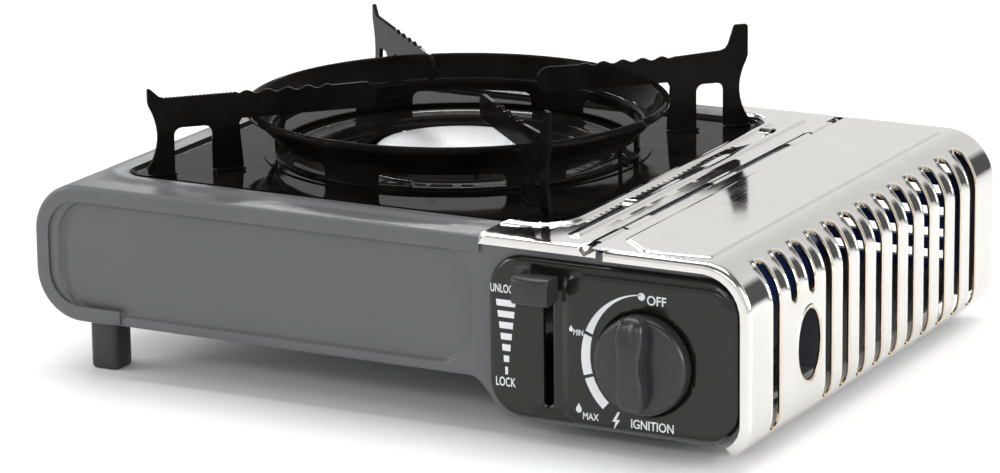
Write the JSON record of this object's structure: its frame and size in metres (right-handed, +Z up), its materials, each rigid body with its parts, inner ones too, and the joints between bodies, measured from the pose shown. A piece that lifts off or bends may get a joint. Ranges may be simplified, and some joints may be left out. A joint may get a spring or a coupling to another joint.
{
  "type": "portable gas stove",
  "caption": "Low single-burner camping stove with a wind ring, blade-shaped pan supports, a hinged cartridge lid, a control knob and a cartridge lock lever.",
  "frame": {"origin": "on the floor under the middle of the stove's outline, knob and lid included", "axes": "+X along the front to the cartridge side, +Y from the front to the back, +Z up"},
  "size_m": [0.343, 0.2754, 0.13],
  "materials": {
    "grey_paint": "satin",
    "polished_steel": "polished",
    "shield_steel": "satin",
    "panel_plastic": "gloss",
    "knob_plastic": "satin",
    "zinc_plate": "satin",
    "brass": "satin",
    "cast_aluminium": "cast",
    "ceramic": "glazed",
    "lead_rubber": "matte",
    "foot_rubber": "matte",
    "black_enamel": "gloss enamel"
  },
  "bodies": {
    "stove_body": {"body_pan": "grey_paint", "top_casing": "grey_paint", "deck_plate": "polished_steel", "hinge_pin": "zinc_plate", "heat_shield": "shield_steel", "control_panel": "panel_plastic", "gas_valve": "zinc_plate", "cartridge_collar": "brass", "igniter": "panel_plastic", "gas_jet": "brass", "gas_pipe": "brass", "mixing_tube": "cast_aluminium", "burner_head": "cast_aluminium", "burner_cap": "cast_aluminium", "burner_bracket": "zinc_plate", "spark_electrode": "ceramic", "electrode_bracket": "zinc_plate", "ignition_lead": "lead_rubber", "lever_bracket": "zinc_plate", "lever_pin": "zinc_plate", "carriage_rail_left": "zinc_plate", "carriage_rail_right": "zinc_plate", "foot_front_left": "foot_rubber", "foot_back_left": "foot_rubber", "foot_front_right": "foot_rubber", "foot_back_right": "foot_rubber", "front_rivet_left": "polished_steel", "front_rivet_right": "polished_steel"},
    "knob": {"control_knob": "knob_plastic", "knob_spindle": "zinc_plate"},
    "lock_lever": {"lever_arm": "zinc_plate", "lever_tab": "panel_plastic"},
    "carriage": {"cartridge_carriage": "zinc_plate"},
    "lid": {"cartridge_lid": "polished_steel"},
    "pan_stand": {"drip_tray": "black_enamel", "wind_ring": "black_enamel", "pan_support_back_right": "black_enamel", "pan_support_back_left": "black_enamel", "pan_support_front_left": "black_enamel", "pan_support_front_right": "black_enamel"}
  },
  "joints": [
    {"name": "lid_hinge", "type": "hinge", "parent": "stove_body", "child": "lid", "pos_m": [0.0983, 0, 0.08453], "axis": [0, -1, 0], "range_deg": [0, 95]},
    {"name": "knob_turn", "type": "hinge", "parent": "stove_body", "child": "knob", "pos_m": [0.125, -0.1217, 0.041], "axis": [0, -1, 0], "range_deg": [0, 165]},
    {"name": "lever_swing", "type": "hinge", "parent": "stove_body", "child": "lock_lever", "pos_m": [0.0798, -0.0587, 0.043], "axis": [1, 0, 0], "range_deg": [0, 36]},
    {"name": "carriage_slide", "type": "slide", "parent": "stove_body", "child": "carriage", "axis": [0, -1, 0], "range_m": [0, 0.009]},
    {"name": "stand_lift", "type": "slide", "parent": "stove_body", "child": "pan_stand", "axis": [0, 0, 1], "range_m": [0, 0.06]}
  ],
  "couplings": [
    {"joint": "carriage_slide", "follows": "lever_swing", "m_per_rad": 0.0143}
  ]
}
